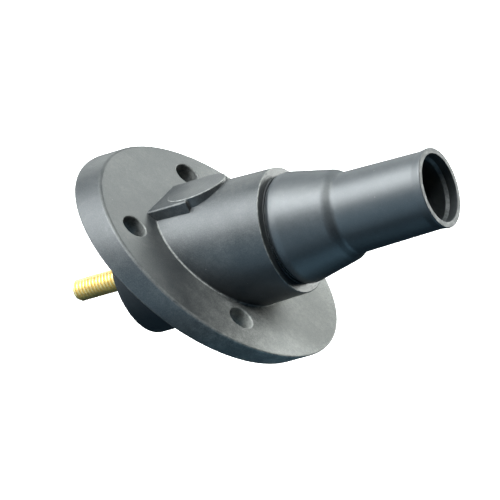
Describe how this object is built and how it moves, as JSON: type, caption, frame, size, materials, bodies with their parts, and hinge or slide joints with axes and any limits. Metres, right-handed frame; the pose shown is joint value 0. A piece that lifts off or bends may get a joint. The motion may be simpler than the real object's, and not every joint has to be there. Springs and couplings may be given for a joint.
{
  "type": "single pole cam lock connector",
  "caption": "Angled panel-mount single pole cam lock connector: black moulded flange and barrel, tapered nose sleeve, brass socket contact and threaded brass stud behind the panel.",
  "frame": {"origin": "centre of the four mounting holes, on the flange's back face, which lies against the panel", "axes": "+Z is the panel's normal, out of the panel; the barrel leans from +Z towards +X; the part is alike on both sides of Y = 0"},
  "size_m": [0.1323, 0.103, 0.1612],
  "materials": {
    "moulded_body": "moulded charcoal black, satin",
    "sleeve_rubber": "smooth black rubber, soft sheen",
    "contact_brass": "turned brass",
    "pin_steel": "ground steel",
    "stud_brass": "threaded brass",
    "ring_steel": "spring steel"
  },
  "bodies": {
    "root": {"flange_body": "moulded_body", "nose_sleeve": "sleeve_rubber", "socket_contact": "contact_brass", "cam_pin": "pin_steel", "line_stud": "stud_brass", "retaining_ring": "ring_steel"}
  },
  "joints": []
}
